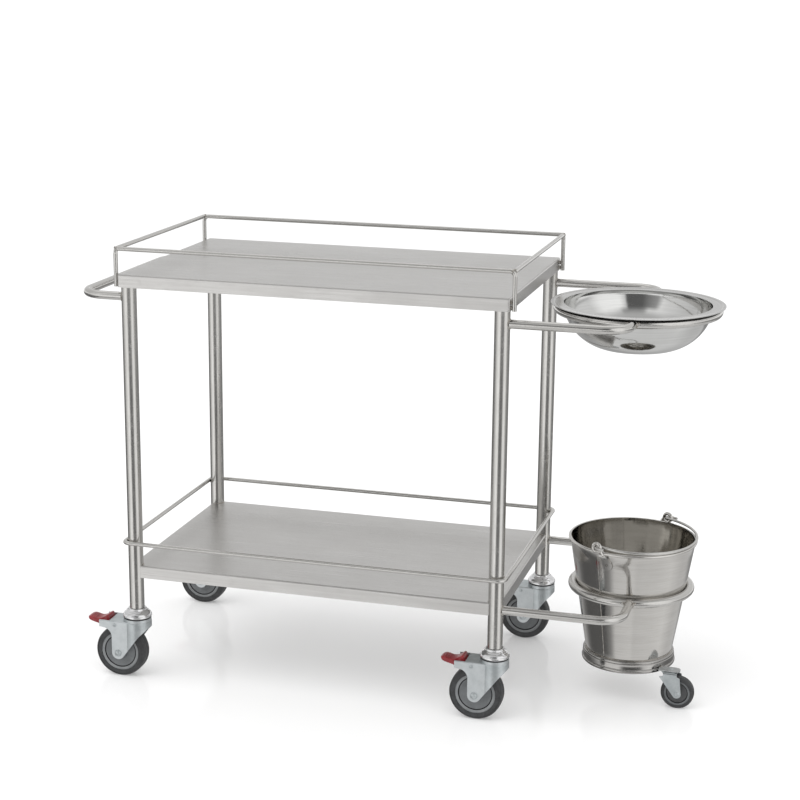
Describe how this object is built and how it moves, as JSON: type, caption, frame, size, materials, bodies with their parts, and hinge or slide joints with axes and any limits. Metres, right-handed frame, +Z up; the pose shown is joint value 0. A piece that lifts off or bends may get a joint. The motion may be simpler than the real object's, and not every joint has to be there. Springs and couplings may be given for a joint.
{
  "type": "dressing trolley",
  "caption": "Two-shelf stainless dressing trolley on braked castors, with guard rails, a push handle and rings that carry a lift-out bowl and bucket.",
  "frame": {"origin": "on the floor, under the middle of the whole length, on the trolley's mid-plane", "axes": "+X along the length from the push handle to the bowl, +Y from the front to the back, +Z up"},
  "size_m": [1.1752, 0.48, 0.838],
  "materials": {
    "tube_steel": "satin ground stainless tube",
    "shelf_steel": "fine brushed stainless sheet",
    "rod_steel": "bright drawn stainless rod",
    "bowl_steel": "polished stainless",
    "bucket_steel": "polished stainless",
    "cup_chrome": "bright plated",
    "zinc_plate": "zinc plated pressed steel",
    "seal_rubber": "matt black",
    "socket_plug": "matt",
    "pedal_red": "semi-gloss moulded",
    "tyre_rubber": "smooth matt",
    "hub_grey": "semi-matt moulded",
    "bearing_steel": "ground"
  },
  "bodies": {
    "frame": {"leg_front_left": "tube_steel", "leg_front_right": "tube_steel", "leg_back_left": "tube_steel", "leg_back_right": "tube_steel", "top_shelf": "shelf_steel", "lower_shelf": "shelf_steel", "upper_rail_front": "rod_steel", "upper_rail_right": "rod_steel", "upper_rail_back": "rod_steel", "upper_rail_left": "rod_steel", "rail_weld_tabs": "rod_steel", "lower_guard_rail": "rod_steel", "push_handle": "tube_steel", "bowl_ring": "tube_steel", "bowl_arm_front": "tube_steel", "bowl_arm_back": "tube_steel", "bucket_ring": "tube_steel", "bucket_arm_front": "tube_steel", "bucket_arm_back": "tube_steel", "caster_stems": "zinc_plate", "caster_top_cups": "cup_chrome", "swivel_seals": "seal_rubber", "leg_socket_plugs": "socket_plug"},
    "swivel_front_left": {"fork_front_left": "zinc_plate", "fork_fasteners_front_left": "zinc_plate"},
    "wheel_front_left": {"tyre_front_left": "tyre_rubber", "wheel_hub_front_left": "hub_grey", "wheel_bearings_front_left": "bearing_steel"},
    "pedal_front_left": {"brake_pedal_front_left": "pedal_red"},
    "swivel_front_right": {"fork_front_right": "zinc_plate", "fork_fasteners_front_right": "zinc_plate"},
    "wheel_front_right": {"tyre_front_right": "tyre_rubber", "wheel_hub_front_right": "hub_grey", "wheel_bearings_front_right": "bearing_steel"},
    "pedal_front_right": {"brake_pedal_front_right": "pedal_red"},
    "swivel_back_left": {"fork_back_left": "zinc_plate", "fork_fasteners_back_left": "zinc_plate"},
    "wheel_back_left": {"tyre_back_left": "tyre_rubber", "wheel_hub_back_left": "hub_grey", "wheel_bearings_back_left": "bearing_steel"},
    "pedal_back_left": {"brake_pedal_back_left": "pedal_red"},
    "swivel_back_right": {"fork_back_right": "zinc_plate", "fork_fasteners_back_right": "zinc_plate"},
    "wheel_back_right": {"tyre_back_right": "tyre_rubber", "wheel_hub_back_right": "hub_grey", "wheel_bearings_back_right": "bearing_steel"},
    "pedal_back_right": {"brake_pedal_back_right": "pedal_red"},
    "bowl": {"bowl": "bowl_steel"},
    "bucket": {"bucket_shell": "bucket_steel", "bucket_foot_band": "bucket_steel", "bucket_ears": "bucket_steel", "small_caster_plate": "zinc_plate"},
    "bail": {"bucket_bail": "bucket_steel"},
    "small_swivel": {"small_caster_fork": "zinc_plate", "small_caster_axle": "zinc_plate"},
    "small_wheel": {"small_caster_tyre": "tyre_rubber", "small_caster_hub": "hub_grey"}
  },
  "joints": [
    {"name": "swivel_front_left", "type": "hinge", "parent": "frame", "child": "swivel_front_left", "pos_m": [-0.4796, -0.212, 0.117], "axis": [0, 0, 1], "continuous": true},
    {"name": "wheel_spin_front_left", "type": "hinge", "parent": "swivel_front_left", "child": "wheel_front_left", "pos_m": [-0.5116, -0.212, 0.05], "axis": [0, 1, 0], "continuous": true},
    {"name": "brake_front_left", "type": "hinge", "parent": "swivel_front_left", "child": "pedal_front_left", "pos_m": [-0.5176, -0.212, 0.1063], "axis": [0, -1, 0], "range_deg": [0, 12]},
    {"name": "swivel_front_right", "type": "hinge", "parent": "frame", "child": "swivel_front_right", "pos_m": [0.2244, -0.212, 0.117], "axis": [0, 0, 1], "continuous": true},
    {"name": "wheel_spin_front_right", "type": "hinge", "parent": "swivel_front_right", "child": "wheel_front_right", "pos_m": [0.1924, -0.212, 0.05], "axis": [0, 1, 0], "continuous": true},
    {"name": "brake_front_right", "type": "hinge", "parent": "swivel_front_right", "child": "pedal_front_right", "pos_m": [0.1864, -0.212, 0.1063], "axis": [0, -1, 0], "range_deg": [0, 12]},
    {"name": "swivel_back_left", "type": "hinge", "parent": "frame", "child": "swivel_back_left", "pos_m": [-0.4796, 0.212, 0.117], "axis": [0, 0, 1], "continuous": true},
    {"name": "wheel_spin_back_left", "type": "hinge", "parent": "swivel_back_left", "child": "wheel_back_left", "pos_m": [-0.5116, 0.212, 0.05], "axis": [0, 1, 0], "continuous": true},
    {"name": "brake_back_left", "type": "hinge", "parent": "swivel_back_left", "child": "pedal_back_left", "pos_m": [-0.5176, 0.212, 0.1063], "axis": [0, -1, 0], "range_deg": [0, 12]},
    {"name": "swivel_back_right", "type": "hinge", "parent": "frame", "child": "swivel_back_right", "pos_m": [0.2244, 0.212, 0.117], "axis": [0, 0, 1], "continuous": true},
    {"name": "wheel_spin_back_right", "type": "hinge", "parent": "swivel_back_right", "child": "wheel_back_right", "pos_m": [0.1924, 0.212, 0.05], "axis": [0, 1, 0], "continuous": true},
    {"name": "brake_back_right", "type": "hinge", "parent": "swivel_back_right", "child": "pedal_back_right", "pos_m": [0.1864, 0.212, 0.1063], "axis": [0, -1, 0], "range_deg": [0, 12]},
    {"name": "bowl_lift_off", "type": "slide", "parent": "frame", "child": "bowl", "axis": [0, 0, 1], "range_m": [0, 0.15]},
    {"name": "bucket_lift_off", "type": "slide", "parent": "frame", "child": "bucket", "axis": [0, 0, 1], "range_m": [0, 0.12]},
    {"name": "bail_swing", "type": "hinge", "parent": "bucket", "child": "bail", "pos_m": [0.4374, 0, 0.3145], "axis": [-0.4067, -0.9135, 0], "range_deg": [0, 173]},
    {"name": "small_caster_swivel", "type": "hinge", "parent": "bucket", "child": "small_swivel", "pos_m": [0.52694, -0.06039, 0.07], "axis": [0, 0, 1], "continuous": true},
    {"name": "small_wheel_spin", "type": "hinge", "parent": "small_swivel", "child": "small_wheel", "pos_m": [0.54094, -0.06039, 0.031], "axis": [0, 1, 0], "continuous": true}
  ]
}
